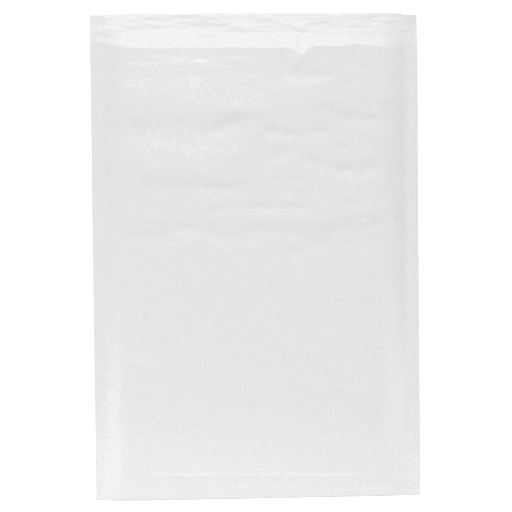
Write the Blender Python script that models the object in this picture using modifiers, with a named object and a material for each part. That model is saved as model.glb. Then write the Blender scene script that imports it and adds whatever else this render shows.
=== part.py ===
"""Padded mailing envelope, lying on its back with its flap folded under it.

One sheet of white paper is folded at the bottom into a front and a back panel. A bubble-film lining of
the same width lies between them, and its welded edges hold the paper together down both sides. The
front panel runs on past the mouth as the flap, which carries an adhesive strip under its release liner.

Metres, +Z up, the mouth towards +Y. The origin is on the table, under the middle of the envelope.
"""

import math

import bmesh
import bpy

# Paper sheet
PANEL_WIDTH = 0.240
PANEL_LENGTH = 0.3562  # bottom fold to the cut edge of the mouth
PAPER_THICKNESS = 0.0002

# Bubble lining
PAD_THICKNESS = 0.0028  # one wall of bubble film
POCKET_GAP = 0.0006  # between the two walls of an empty envelope
WELD_THICKNESS = 0.0003  # both films melted together
LAMINATE_GAP = 0.0002  # between paper and film, and under and over the adhesive

# Side seams and the padded body's shoulders
SEAM_WIDTH = 0.0100
SHOULDER_WIDTH = 0.0180
# Where a seam's outer edge hangs down, or stands up. Each: its side, the y of its middle, half its length
# and its drop
SEAM_DROPS = (
    (1, 0.1720, 0.012, 0.0016),
    (-1, -0.1600, 0.110, 0.0012),
    (1, -0.1600, 0.060, -0.0008),
)

# Mouth, pressed flat so that the flap folds over it
MOUTH_BAND = 0.0248  # crease of the padded body to the cut edge
MOUTH_BREAK = 0.0100  # second crease to the cut edge
MOUTH_BREAK_RISE = 0.30  # share of the body's height reached at the second crease
MOUTH_PAD_THICKNESS = 0.0004  # one lining wall where the mouth is pressed
FOLD_BULGE = 0.0016  # how far the flap's fold stands past the cut edge
# Where that fold stands out less. Each: x of its middle, half its width and its rise
FOLD_WAVES = (
    (-0.104, 0.010, -0.0010),
    (-0.060, 0.012, -0.0009),
)
# Where the crease of the padded body lies higher or lower, in the same terms
PUCKER_X = 0.0345  # a pucker pulls the crease down here
PUCKER_HALF_WIDTH = 0.0035
CREASE_WAVES = (
    (PUCKER_X, PUCKER_HALF_WIDTH, -0.0070),
    (0.0480, 0.0080, 0.0015),
    (0.0760, 0.0160, 0.0025),
    (-0.1000, 0.0060, 0.0020),
)
CREASE_ZONE = 0.0080  # that the lowest of them reaches down from the crease

# Bottom band, where the padding thins towards the bottom fold
BOTTOM_BAND = 0.0145
BOTTOM_SHARE = 0.80  # share of the body's height that is left at the fold
BOTTOM_BULGE = 0.0009  # how far the fold stands past the lining
BOTTOM_LINE_Y = -0.1614  # thin pressed line above the band
BOTTOM_LINE_HALF_WIDTH = 0.0013

# Flap
FLAP_LENGTH = 0.0500
FLAP_INSET = 0.0110  # side edge of the panel to side edge of the flap at its fold
FLAP_TAPER = 0.0060  # how much further in each side is at the free edge
FLAP_CORNER_RADIUS = 0.0080
FLAP_RAMP = 0.0120  # over which the back panel rises onto the folded flap

# Adhesive strip and release liner
STRIP_WIDTH = 0.0180
STRIP_THICKNESS = 0.00015
STRIP_SIDE_MARGIN = 0.0090  # from the flap's side at its free edge
STRIP_EDGE_MARGIN = 0.0060  # from the flap's free edge
STRIP_CORNER_RADIUS = 0.0010
LINER_OVERHANG = 0.0030  # past the adhesive on every side
LINER_THICKNESS = 0.0001
LINER_CORNER_RADIUS = 0.0015

# Soft wrinkles of the front panel, where the paper stands off the film
PAPER_SLACK = 0.0011  # how far it stands off away from the body's edges
SLACK_FADE = 0.0300  # from the body's edges to full slack
WRINKLE_FADE = 0.0080  # from the body's edges to full wrinkles
BOTTOM_FADE = 0.0800  # from the bottom band to full slack and wrinkles
WRINKLE_LEAN = 2.2  # times as wide as its other side: a wrinkle's side towards the mouth, a dent's away from it
# Each wrinkle: x and y of its middle, half its length, half its width, its rise (a dent is below 0), and
# its turn from the X axis in degrees
WRINKLES = (
    (-0.050, 0.1350, 0.045, 0.0090, 0.0009, 0),
    (0.034, 0.1340, 0.020, 0.0050, -0.0008, -6),
    (0.027, 0.1400, 0.010, 0.0035, -0.0004, -22),
    (-0.051, 0.1060, 0.045, 0.0110, 0.0013, 3),
    (-0.053, 0.1050, 0.012, 0.0035, -0.0004, 8),
    (-0.081, 0.0950, 0.020, 0.0045, -0.0007, 3),
    (-0.020, 0.0950, 0.018, 0.0045, -0.0009, 13),
    (-0.002, 0.1000, 0.008, 0.0030, -0.0004, -5),
    (0.014, 0.0920, 0.009, 0.0035, -0.0006, -10),
    (0.025, 0.0890, 0.008, 0.0030, -0.0005, -5),
    (0.017, 0.0740, 0.010, 0.0040, -0.0006, 6),
    (0.064, 0.1030, 0.015, 0.0040, -0.0007, -3),
    (0.079, 0.0960, 0.010, 0.0035, -0.0005, 5),
    (0.050, 0.0920, 0.009, 0.0035, -0.0005, 12),
    (0.070, 0.0795, 0.012, 0.0035, -0.0006, 10),
    (0.046, 0.0680, 0.017, 0.0040, -0.0006, -12),
    (0.077, 0.0655, 0.014, 0.0040, -0.0007, 3),
    (-0.055, 0.0615, 0.040, 0.0100, 0.0010, 0),
    (-0.040, 0.0525, 0.024, 0.0045, -0.0007, -3),
    (0.022, 0.0365, 0.028, 0.0032, -0.0006, 0),
    (0.070, 0.0358, 0.024, 0.0035, -0.0005, 2),
    (-0.070, 0.0180, 0.032, 0.0065, -0.0009, 9),
    (-0.018, 0.0135, 0.020, 0.0060, -0.0007, -8),
    (0.022, 0.0135, 0.016, 0.0050, -0.0007, -20),
    (0.066, 0.0105, 0.026, 0.0085, -0.0013, 4),
    (0.088, 0.0210, 0.012, 0.0050, -0.0005, 15),
    (0.044, 0.0055, 0.016, 0.0040, -0.0005, -15),
    (0.083, -0.0390, 0.014, 0.0040, -0.0005, -2),
    (0.081, -0.0495, 0.015, 0.0035, -0.0004, 0),
    (0.022, -0.0530, 0.006, 0.0035, -0.0004, 0),
    (-0.061, -0.0415, 0.015, 0.0020, 0.0005, -7),
)

# Sharper creases, in the same terms, which also cross the pressed mouth
CREASES = (
    (-0.106, 0.1640, 0.009, 0.0022, 0.0005, -8),
    (-0.110, 0.1565, 0.007, 0.0020, 0.0004, -5),
    (PUCKER_X, 0.1455, 0.0075, 0.0028, 0.0008, 62),
    (0.007, BOTTOM_LINE_Y, 0.085, BOTTOM_LINE_HALF_WIDTH, -0.00015, 0),
)

# Mesh stations
SHOULDER_STEPS = 3
BODY_COLUMNS = 18
WRINKLED_Y = -0.062  # the front panel's rows are close together above it
WRINKLED_ROWS = 74
SMOOTH_ROWS = 5
CREASE_ROWS = 4
BODY_ROWS = 14
FLAP_ROWS = 5
MOUTH_FOLD_STEPS = 6
BOTTOM_FOLD_STEPS = 6
EDGE_ROWS = 3
LEAST_COLUMN = 0.0015  # a column nearer than this to the flap's side edge gives way to it

# Heights of the stack, from the table up
BODY_BOTTOM = PAPER_THICKNESS + LAMINATE_GAP
SEAM_LEVEL = BODY_BOTTOM + PAD_THICKNESS + POCKET_GAP / 2
BODY_TOP = SEAM_LEVEL + POCKET_GAP / 2 + PAD_THICKNESS
FLAP_STACK = PAPER_THICKNESS + STRIP_THICKNESS + LINER_THICKNESS + 3 * LAMINATE_GAP
MOUTH_BOTTOM = FLAP_STACK + PAPER_THICKNESS + LAMINATE_GAP
MOUTH_LEVEL = MOUTH_BOTTOM + MOUTH_PAD_THICKNESS + POCKET_GAP / 2
MOUTH_TOP = MOUTH_LEVEL + POCKET_GAP / 2 + MOUTH_PAD_THICKNESS
PAPER_OFFSET = LAMINATE_GAP + PAPER_THICKNESS / 2  # film surface to the middle of the paper
SEAM_FOLD_RADIUS = WELD_THICKNESS / 2 + PAPER_OFFSET

# Places along Y
OVERALL_LENGTH = PANEL_LENGTH + FOLD_BULGE + PAPER_THICKNESS / 2
MOUTH_Y = OVERALL_LENGTH / 2 - FOLD_BULGE - PAPER_THICKNESS / 2
CREASE_Y = MOUTH_Y - MOUTH_BAND
BREAK_Y = MOUTH_Y - MOUTH_BREAK
BOTTOM_Y = -OVERALL_LENGTH / 2 + PAPER_THICKNESS / 2 + BOTTOM_BULGE
BAND_Y = BOTTOM_Y + BOTTOM_BAND
FLAP_EDGE_Y = MOUTH_Y - FLAP_LENGTH
FLAP_FOOT_Y = FLAP_EDGE_Y - FLAP_RAMP

# Places across X
HALF_WIDTH = PANEL_WIDTH / 2
BODY_EDGE = HALF_WIDTH - SEAM_WIDTH
BODY_FLAT = BODY_EDGE - SHOULDER_WIDTH
FLAP_HALF = HALF_WIDTH - FLAP_INSET
FLAP_EDGE_HALF = FLAP_HALF - FLAP_TAPER


def clear_scene():
    for obj in list(bpy.data.objects):
        bpy.data.objects.remove(obj, do_unlink=True)


def make_collection(name):
    collection = bpy.data.collections.new(name)
    bpy.context.scene.collection.children.link(collection)
    return collection


def make_material(name, colour, roughness, metallic=0.0):
    material = bpy.data.materials.new(name)
    material.use_nodes = True
    shader = material.node_tree.nodes["Principled BSDF"]
    shader.inputs["Base Color"].default_value = (*colour, 1.0)
    shader.inputs["Roughness"].default_value = roughness
    shader.inputs["Metallic"].default_value = metallic
    return material


def smooth(t):
    t = min(1.0, max(0.0, t))
    return t * t * (3 - 2 * t)


def between(value, low, high):
    """0 at low, 1 at high, and straight in between."""
    return min(1.0, max(0.0, (value - low) / (high - low)))


def spaced(first, last, steps):
    """The places from first to last in equal steps, without first."""
    return [first + (last - first) * i / steps for i in range(1, steps + 1)]


def swells(marks, x):
    """Height of a list of soft swells at x."""
    return sum(rise * math.exp(-(((x - middle) / half_width) ** 2)) for middle, half_width, rise in marks)


def ridges(marks, x, y):
    """Height of a list of long soft ridges and dents at x and y, each steeper on its side that looks down the
    envelope."""
    height = 0.0
    for middle_x, middle_y, half_length, half_width, rise, turn in marks:
        cosine, sine = math.cos(math.radians(turn)), math.sin(math.radians(turn))
        along = ((x - middle_x) * cosine + (y - middle_y) * sine) / half_length
        across = ((y - middle_y) * cosine - (x - middle_x) * sine) / half_width
        if across * rise > 0:
            across /= WRINKLE_LEAN
        height += rise * math.exp(-along * along - across * across)
    return height


def shoulder(x):
    """0 on the side seam, 1 on the padded body, steepest at the seam."""
    return 1 - between(abs(x), BODY_FLAT, BODY_EDGE) ** 2


def crease_line(x):
    """Where the crease between the pressed mouth and the padded body lies along Y."""
    return CREASE_Y + swells(CREASE_WAVES, x)


def mouth_rise(x, y):
    """Share of the body's height along the pressed mouth: 1 at the crease, 0 at the cut edge."""
    if y < BREAK_Y:
        return MOUTH_BREAK_RISE + (1 - MOUTH_BREAK_RISE) * between(y, BREAK_Y, crease_line(x))
    return MOUTH_BREAK_RISE * between(y, MOUTH_Y, BREAK_Y)


def bottom_rise(y):
    """Share of the body's height along the bottom band: least at the fold, 1 past the band."""
    return 1 - (1 - BOTTOM_SHARE) * between(y, BAND_Y, BOTTOM_Y) ** 2


def middle_level(x, y):
    """Height of the lining's middle plane, which dips towards the mouth and hangs along the seams."""
    level = SEAM_LEVEL + (MOUTH_LEVEL - SEAM_LEVEL) * smooth(between(y, CREASE_Y, MOUTH_Y))
    for side, middle_y, half_length, drop in SEAM_DROPS:
        outside = smooth(between(side * x, BODY_EDGE, HALF_WIDTH))
        level -= drop * outside * math.exp(-(((y - middle_y) / half_length) ** 2))
    return level


def lining_top(x, y):
    edge = middle_level(x, y) + WELD_THICKNESS / 2
    if y > crease_line(x):
        body = MOUTH_TOP + (BODY_TOP - MOUTH_TOP) * mouth_rise(x, y)
    else:
        body = edge + (BODY_TOP - edge) * bottom_rise(y)
    return edge + (body - edge) * shoulder(x)


def flap_lift(y):
    """How far the back panel is held up by the folded flap, as a share."""
    return smooth(between(y, FLAP_FOOT_Y, FLAP_EDGE_Y))


def lining_bottom(x, y):
    edge = middle_level(x, y) - WELD_THICKNESS / 2
    lying = BODY_BOTTOM + (MOUTH_BOTTOM - BODY_BOTTOM) * flap_lift(y)
    body = edge + (lying - edge) * bottom_rise(y)
    return edge + (body - edge) * shoulder(x)


def inside(x, y, fade):
    """0 at the edges of the padded body, 1 further inside than fade."""
    side = smooth((BODY_EDGE - abs(x)) / fade)
    return side * smooth((crease_line(x) - y) / fade) * smooth((y - BAND_Y) / BOTTOM_FADE)


def slack(x, y):
    """How far the front panel stands off the film."""
    loose = PAPER_SLACK * inside(x, y, SLACK_FADE)
    return max(0.0, loose + ridges(WRINKLES, x, y) * inside(x, y, WRINKLE_FADE))


def front_level(x, y):
    return lining_top(x, y) + PAPER_OFFSET + slack(x, y) + ridges(CREASES, x, y)


def back_level(x, y):
    return lining_bottom(x, y) - PAPER_OFFSET


def columns():
    """Places across X: the body, the shoulder's steps, the flap's side edge, the seam's outer edge and the
    pucker."""
    right = [0.0] + spaced(0.0, BODY_FLAT, BODY_COLUMNS // 2) + spaced(BODY_FLAT, BODY_EDGE, SHOULDER_STEPS)
    right = [x for x in right if abs(x - FLAP_HALF) > LEAST_COLUMN]
    right = sorted(right + [FLAP_HALF, HALF_WIDTH])
    left = [-x for x in reversed(right[1:])]
    pucker = [PUCKER_X - PUCKER_HALF_WIDTH, PUCKER_X, PUCKER_X + PUCKER_HALF_WIDTH]
    right = [x for x in right if min(abs(x - place) for place in pucker) > LEAST_COLUMN]
    return left + sorted(right + pucker)


def mouth_rows():
    """Places along Y from the cut edge down to the padded body's crease."""
    return [MOUTH_Y] + spaced(MOUTH_Y, BREAK_Y, EDGE_ROWS) + spaced(BREAK_Y, CREASE_Y, EDGE_ROWS)


def crease_rows():
    """Places along Y over the stretch that the crease line wanders in."""
    return spaced(CREASE_Y, CREASE_Y - CREASE_ZONE, CREASE_ROWS)


def bottom_line_rows():
    """Places along Y over the thin pressed line above the bottom band."""
    return [BOTTOM_LINE_Y + step * BOTTOM_LINE_HALF_WIDTH for step in (3, 1, 0, -1)]


def bottom_rows():
    """Places along Y from the bottom band's top down to the bottom fold."""
    return spaced(BAND_Y, BOTTOM_Y, EDGE_ROWS)


def body_rows():
    """Places along Y from the bottom fold up to where the back panel lies on the flap."""
    rows = list(reversed(bottom_rows())) + [BAND_Y] + spaced(BAND_Y, FLAP_FOOT_Y, BODY_ROWS)
    return rows + spaced(FLAP_FOOT_Y, FLAP_EDGE_Y, EDGE_ROWS)


def flap_length(x):
    """Length of the flap at x, which is shorter round its corners."""
    past = max(0.0, abs(x) - (FLAP_HALF - FLAP_CORNER_RADIUS))
    past = min(past, FLAP_CORNER_RADIUS)
    return FLAP_LENGTH - FLAP_CORNER_RADIUS + math.sqrt(FLAP_CORNER_RADIUS**2 - past**2)


def flap_point(x, share):
    """A point of the flap: share 0 at its free edge, 1 where its fold starts."""
    length = flap_length(x)
    along = length * (1 - share)
    narrowing = 1 - FLAP_TAPER / FLAP_HALF * along / FLAP_LENGTH
    return (x * narrowing, MOUTH_Y - along, PAPER_THICKNESS / 2)


def mouth_fold_point(x, turn):
    """A point of the flap's fold: turn 0 on the flap, pi on the front panel."""
    low, high = PAPER_THICKNESS / 2, front_level(x, MOUTH_Y)
    middle, half = (low + high) / 2, (high - low) / 2
    bulge = FOLD_BULGE + swells(FOLD_WAVES, x)
    return (x, MOUTH_Y + bulge * math.sin(turn), middle - half * math.cos(turn))


def bottom_fold_point(x, turn):
    """A point of the bottom fold: turn 0 on the front panel, pi on the back panel."""
    high, low = front_level(x, BOTTOM_Y), back_level(x, BOTTOM_Y)
    middle, half = (high + low) / 2, (high - low) / 2
    bulge = SEAM_FOLD_RADIUS + (BOTTOM_BULGE - SEAM_FOLD_RADIUS) * shoulder(x)
    return (x, BOTTOM_Y - bulge * math.sin(turn), middle + half * math.cos(turn))


def sheet_rows():
    """The sheet's rows in order along the paper, from the flap's free edge to the cut edge of the back
    panel. Each is (whether it belongs to the flap, the function that places a point of it)."""
    rows = []
    for i in range(FLAP_ROWS):
        rows.append((True, lambda x, s=i / FLAP_ROWS: flap_point(x, s)))
    for i in range(MOUTH_FOLD_STEPS):
        rows.append((True, lambda x, a=math.pi * i / MOUTH_FOLD_STEPS: mouth_fold_point(x, a)))
    front = mouth_rows() + crease_rows() + spaced(CREASE_Y - CREASE_ZONE, WRINKLED_Y, WRINKLED_ROWS)
    front += spaced(WRINKLED_Y, bottom_line_rows()[0], SMOOTH_ROWS) + bottom_line_rows()[1:]
    front += [BAND_Y] + bottom_rows()
    for y in front:
        rows.append((False, lambda x, y=y: (x, y, front_level(x, y))))
    for i in range(1, BOTTOM_FOLD_STEPS):
        rows.append((False, lambda x, a=math.pi * i / BOTTOM_FOLD_STEPS: bottom_fold_point(x, a)))
    back = body_rows() + spaced(FLAP_EDGE_Y, CREASE_Y, EDGE_ROWS) + list(reversed(mouth_rows()))[1:]
    for y in back:
        rows.append((False, lambda x, y=y: (x, y, back_level(x, y))))
    return rows


def make_paper_jacket(collection, material):
    """The outer sheet, laid out flat as a grid, trimmed at the flap's sides and folded up."""
    places = columns()
    rows = sheet_rows()
    mesh = bpy.data.meshes.new("paper_jacket")
    bm = bmesh.new()
    bmesh.ops.create_grid(bm, x_segments=len(places) - 1, y_segments=len(rows) - 1, size=0.5)
    outside = []
    for vertex in bm.verts:
        i = round((vertex.co.x + 0.5) * (len(places) - 1))
        j = round((vertex.co.y + 0.5) * (len(rows) - 1))
        on_flap, point = rows[j]
        if on_flap and abs(places[i]) > FLAP_HALF:
            outside.append(vertex)
        else:
            vertex.co = point(places[i])
    bmesh.ops.delete(bm, geom=outside, context="VERTS")
    bmesh.ops.triangulate(bm, faces=bm.faces, quad_method="SHORT_EDGE")
    bmesh.ops.recalc_face_normals(bm, faces=bm.faces)
    bm.to_mesh(mesh)
    bm.free()
    obj = add_object("paper_jacket", mesh, collection, material)
    wall = obj.modifiers.new("paper", "SOLIDIFY")
    wall.thickness = PAPER_THICKNESS
    wall.offset = 0.0
    wall.use_even_offset = True
    obj.data.shade_smooth()
    obj.data.set_sharp_from_angle(angle=math.radians(40))
    return obj


def add_object(name, data, collection, material):
    obj = bpy.data.objects.new(name, data)
    data.materials.append(material)
    collection.objects.link(obj)
    return obj


def slab(name, places, rows, top, bottom):
    """A closed mesh over a grid of places across X and rows along Y, between two surfaces. Its quads are split
    along their shorter diagonals, like the jacket's, so that both bend along the same lines."""
    mesh = bpy.data.meshes.new(name)
    bm = bmesh.new()
    bmesh.ops.create_grid(bm, x_segments=len(places) - 1, y_segments=len(rows) - 1, size=0.5)
    for vertex in bm.verts:
        x = places[round((vertex.co.x + 0.5) * (len(places) - 1))]
        y = rows[round((vertex.co.y + 0.5) * (len(rows) - 1))]
        vertex.co = (x, y, top(x, y))
    made = bmesh.ops.extrude_face_region(bm, geom=bm.faces[:])
    for item in made["geom"]:
        if isinstance(item, bmesh.types.BMVert):
            item.co.z = bottom(item.co.x, item.co.y)
    bmesh.ops.triangulate(bm, faces=bm.faces, quad_method="SHORT_EDGE")
    bmesh.ops.recalc_face_normals(bm, faces=bm.faces)
    bm.to_mesh(mesh)
    bm.free()
    return mesh


def make_bubble_lining(collection, cutters, material):
    """The bubble-film bag: two padded walls, welded flat down both sides, open at the mouth."""
    rows = body_rows() + list(reversed(mouth_rows() + crease_rows()))
    mesh = slab("bubble_lining", columns(), rows, lining_top, lining_bottom)
    obj = add_object("bubble_lining", mesh, collection, material)

    half = BODY_EDGE - SHOULDER_WIDTH / 2
    past_mouth = MOUTH_Y + MOUTH_BREAK
    pocket_rows = [BAND_Y] + list(reversed(mouth_rows())) + [past_mouth]
    pocket = slab(
        "pocket_cutter",
        [-half, half],
        pocket_rows,
        lambda x, y: middle_level(x, y) + POCKET_GAP / 2,
        lambda x, y: middle_level(x, y) - POCKET_GAP / 2,
    )
    cutter = add_object("pocket_cutter", pocket, cutters, material)
    cutter.hide_render = True
    cutter.display_type = "WIRE"
    cut = obj.modifiers.new("pocket", "BOOLEAN")
    cut.operation = "DIFFERENCE"
    cut.solver = "EXACT"
    cut.object = cutter
    return obj


def rounded_rectangle(name, width, length, radius, thickness):
    """A flat outline with round corners, as a filled curve of the given thickness, centred on the origin."""
    curve = bpy.data.curves.new(name, "CURVE")
    curve.dimensions = "2D"
    curve.fill_mode = "BOTH"
    curve.extrude = thickness / 2
    spline = curve.splines.new("POLY")
    steps = 4
    points = []
    for corner in range(4):
        sign_x = (1, -1, -1, 1)[corner]
        sign_y = (1, 1, -1, -1)[corner]
        for step in range(steps + 1):
            angle = math.pi / 2 * (corner + step / steps)
            points.append(
                (
                    sign_x * (width / 2 - radius) + radius * math.cos(angle),
                    sign_y * (length / 2 - radius) + radius * math.sin(angle),
                )
            )
    spline.points.add(len(points) - 1)
    for point, (x, y) in zip(spline.points, points):
        point.co = (x, y, 0, 1)
    spline.use_cyclic_u = True
    return curve


def strip_centre():
    """Middle of the adhesive strip along Y."""
    return FLAP_EDGE_Y + STRIP_EDGE_MARGIN + STRIP_WIDTH / 2


def strip_length():
    return 2 * (FLAP_EDGE_HALF - STRIP_SIDE_MARGIN)


def make_adhesive_strip(collection, material):
    curve = rounded_rectangle(
        "adhesive_strip", strip_length(), STRIP_WIDTH, STRIP_CORNER_RADIUS, STRIP_THICKNESS
    )
    obj = add_object("adhesive_strip", curve, collection, material)
    level = PAPER_THICKNESS + LAMINATE_GAP + STRIP_THICKNESS / 2
    obj.location = (0, strip_centre(), level)
    return obj


def make_release_liner(collection, material):
    curve = rounded_rectangle(
        "release_liner",
        strip_length() + 2 * LINER_OVERHANG,
        STRIP_WIDTH + 2 * LINER_OVERHANG,
        LINER_CORNER_RADIUS,
        LINER_THICKNESS,
    )
    obj = add_object("release_liner", curve, collection, material)
    level = PAPER_THICKNESS + STRIP_THICKNESS + 2 * LAMINATE_GAP + LINER_THICKNESS / 2
    obj.location = (0, strip_centre(), level)
    return obj


def main():
    clear_scene()
    envelope = make_collection("padded_envelope")
    cutters = make_collection("cutters")
    white_paper = make_material("white_paper", (0.78, 0.78, 0.78), 0.45)
    bubble_film = make_material("bubble_film", (0.80, 0.82, 0.84), 0.25)
    hot_melt = make_material("hot_melt", (0.78, 0.72, 0.52), 0.35)
    silicone_paper = make_material("silicone_paper", (0.82, 0.82, 0.80), 0.30)
    make_paper_jacket(envelope, white_paper)
    make_bubble_lining(envelope, cutters, bubble_film)
    make_adhesive_strip(envelope, hot_melt)
    make_release_liner(envelope, silicone_paper)


main()
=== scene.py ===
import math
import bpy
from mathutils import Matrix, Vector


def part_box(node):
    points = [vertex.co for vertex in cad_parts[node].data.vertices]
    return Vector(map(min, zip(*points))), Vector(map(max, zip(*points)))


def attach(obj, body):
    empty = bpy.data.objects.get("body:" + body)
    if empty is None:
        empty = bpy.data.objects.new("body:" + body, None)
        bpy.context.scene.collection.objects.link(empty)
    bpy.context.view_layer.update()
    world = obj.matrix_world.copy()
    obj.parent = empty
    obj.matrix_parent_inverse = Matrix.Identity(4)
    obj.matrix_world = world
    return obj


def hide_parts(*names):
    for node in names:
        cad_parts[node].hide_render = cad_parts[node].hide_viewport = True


bl_info = {
    "name": "Padded Envelope",
    "version": (1, 0, 0),
    "blender": (4, 5, 0),
    "location": "View3D > Sidebar > Envelope",
    "description": "Folds the paper jacket, blows the bubble lining, finishes the strip and sets the stage",
    "category": "Add Mesh",
}

import bmesh
import bpy
import numpy as np
from bpy.props import FloatProperty, FloatVectorProperty, IntProperty, PointerProperty
from mathutils import Vector, noise

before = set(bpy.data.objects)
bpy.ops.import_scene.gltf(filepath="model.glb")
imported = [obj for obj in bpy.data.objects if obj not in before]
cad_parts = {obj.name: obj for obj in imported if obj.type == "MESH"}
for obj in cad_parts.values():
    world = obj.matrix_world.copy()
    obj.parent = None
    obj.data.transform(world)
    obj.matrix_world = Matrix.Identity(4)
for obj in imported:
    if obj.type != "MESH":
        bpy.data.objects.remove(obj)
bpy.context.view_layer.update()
JACKET_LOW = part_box("paper_jacket")[0]
LINING_LOW, LINING_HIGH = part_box("bubble_lining")

# The photo's scale on the envelope: the pixel over the origin, and one pixel's width and height in metres
PHOTO_ORIGIN = (255.05, 255.6)
PHOTO_PIXEL = (0.000735, 0.0007366)

# Crests where the paper stands off the film, placed on the photo. Each: x and y of its middle and
# half its length in the photo's pixels, half its width in metres, its rise over that half width and its turn
# from the X axis in degrees
CRESTS = (
    (187, 72, 60, 0.0090, 0.050, 0),
    (186, 112, 60, 0.0110, 0.085, 3),
    (180, 172, 54, 0.0100, 0.100, 0),
    (246, 111, 18, 0.0026, 0.100, 0),
    (276, 218, 40, 0.0040, 0.120, 0),
    (360, 215, 32, 0.0040, 0.100, 2),
    (345, 215, 42, 0.0130, 0.065, 0),
)
CREST_STRENGTH = 1.20

# Dents between them, in the same terms, but with x and y on the middle of the dark line that the dent's
# upper side makes
DENTS = (
    (290, 68, 9, 0.0028, 0.17, -28),
    (308, 72, 13, 0.0026, 0.14, 0),
    (135, 73, 18, 0.0030, 0.08, 0),
    (190, 71, 22, 0.0032, 0.10, -4),
    (225, 121, 18, 0.0034, 0.24, 15),
    (256, 116, 10, 0.0025, 0.06, 0),
    (140, 121, 22, 0.0050, 0.08, 3),
    (271, 128, 7, 0.0028, 0.24, -8),
    (289, 131, 10, 0.0028, 0.24, -5),
    (345, 113, 14, 0.0030, 0.22, -3),
    (372, 117, 13, 0.0026, 0.12, -4),
    (320, 128, 11, 0.0028, 0.20, 8),
    (343, 127, 10, 0.0024, 0.10, 0),
    (284, 147, 10, 0.0030, 0.17, 28),
    (270, 155, 9, 0.0028, 0.10, 12),
    (343, 146, 9, 0.0026, 0.16, 5),
    (315, 159, 14, 0.0028, 0.16, -18),
    (347, 167, 16, 0.0034, 0.20, -5),
    (370, 163, 9, 0.0026, 0.16, 35),
    (163, 180, 20, 0.0028, 0.10, 2),
    (207, 183, 22, 0.0032, 0.18, -7),
    (225, 186, 9, 0.0022, 0.10, 0),
    (292, 178, 9, 0.0024, 0.14, 3),
    (250, 180, 14, 0.0022, 0.08, 3),
    (218, 206, 11, 0.0024, 0.16, 8),
    (262, 204, 16, 0.0026, 0.20, 0),
    (298, 205, 16, 0.0026, 0.20, -6),
    (345, 200, 26, 0.0024, 0.09, -2),
    (135, 232, 16, 0.0024, 0.17, 2),
    (165, 228, 18, 0.0034, 0.20, 12),
    (190, 221, 12, 0.0028, 0.21, 14),
    (220, 230, 14, 0.0032, 0.24, -12),
    (255, 227, 18, 0.0032, 0.20, 5),
    (290, 229, 14, 0.0030, 0.17, -8),
    (335, 226, 10, 0.0030, 0.18, 25),
    (360, 221, 18, 0.0045, 0.18, 5),
    (320, 240, 12, 0.0030, 0.16, -5),
    (340, 243, 10, 0.0026, 0.14, 15),
    (367, 239, 9, 0.0026, 0.16, 10),
    (293, 249, 9, 0.0026, 0.16, -3),
)
DENT_STRENGTH = 1.65
DARK_LINE = 0.7  # of its half width, from a dent's middle up to that dark line

# Each crest is this many times as wide on its side towards the mouth, and each dent on its side towards the
# bottom
WRINKLE_LEAN = 2.2

# Single creases, also of the pressed mouth, in metres. Each: x and y of its middle, half its length, half
# its width, its rise and its turn in degrees
CREASES = (
    (-0.106, 0.1640, 0.009, 0.0022, 0.0005, -8),
    (-0.110, 0.1565, 0.007, 0.0020, 0.0004, -5),
    (0.000, 0.1640, 0.050, 0.0008, -0.00012, 0),
    (-0.010, 0.1610, 0.030, 0.0008, -0.00012, 1),
    (0.072, 0.1628, 0.026, 0.0008, -0.00015, -1),
    (0.0345, 0.1455, 0.0075, 0.0028, 0.0008, 62),
    (0.083, -0.0390, 0.014, 0.0040, -0.0006, -2),
    (0.081, -0.0495, 0.015, 0.0035, -0.0005, 0),
    (0.022, -0.0530, 0.006, 0.0035, -0.0004, 0),
    (-0.061, -0.0415, 0.015, 0.0020, 0.0004, -7),
    (0.007, -0.1614, 0.085, 0.0013, -0.00014, -1.1),
)

# Painted highlight along the pressed line above the bottom band: its crease is in the mesh, and its lighter
# colour stands in for light on that ridge. Its place along Y, half its width, half its length, how much it
# climbs along X and the share of its half length over which it is full
PAINTED_LINE_HIGHLIGHT = (-0.1606, 0.0018, 0.092, -0.02, 0.75)

# Where the front panel shows lighter specks, painted sparkle that stands in for glints of gloss. Each: x and
# y of its middle, half its length, half its width, which is wider towards the mouth as a crest's is, its
# strength and its turn in degrees
PAINTED_SPARKLE_PATCHES = (
    (-0.0824, 0.1249, 0.014, 0.0045, 0.8, 0),
    (-0.0507, 0.1270, 0.016, 0.0100, 0.9, 0),
    (-0.0074, 0.1215, 0.024, 0.0080, 0.5, 0),
    (-0.0111, 0.1125, 0.030, 0.0026, 0.6, 0),
    (-0.0757, 0.0830, 0.011, 0.0060, 0.8, 0),
    (-0.0405, 0.0780, 0.024, 0.0090, 0.8, 0),
    (0.0264, 0.1270, 0.013, 0.0030, 0.8, 0),
    (-0.0838, -0.0754, 0.013, 0.0020, 0.8, -3),
    (-0.0824, -0.0968, 0.014, 0.0026, 0.7, -5),
    (-0.1100, -0.1500, 0.010, 0.0400, 0.5, 0),
    (0.1140, -0.1600, 0.008, 0.0160, 0.8, 0),
    (0.0000, -0.1600, 0.120, 0.0140, 0.4, 0),
)

# Where the flap's fold stands out less or more. Each: x of its middle, half its width and its rise
FOLD_WAVES = (
    (-0.104, 0.010, -0.0010),
    (-0.060, 0.012, -0.0009),
)

# Where the crease between the mouth and the padded body lies higher or lower, in the same terms
CREASE_WAVES = (
    (0.0345, 0.0035, -0.0070),
    (0.0480, 0.0080, 0.0015),
    (0.0760, 0.0160, 0.0025),
    (-0.1000, 0.0060, 0.0020),
)

# Crumple of the front panel's upper part. Each: its length along X, its length along Y, its depth and its
# seed
CRUMPLES = (
    (0.026, 0.0085, 0.00022, 3.1),
    (0.011, 0.0044, 0.00024, 8.7),
    (0.005, 0.0024, 0.00010, 1.9),
)

# Crumple of the pressed mouth, in the same terms
MOUTH_CRUMPLES = (
    (0.026, 0.0060, 0.00036, 5.3),
    (0.009, 0.0028, 0.00014, 7.9),
)

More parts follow.
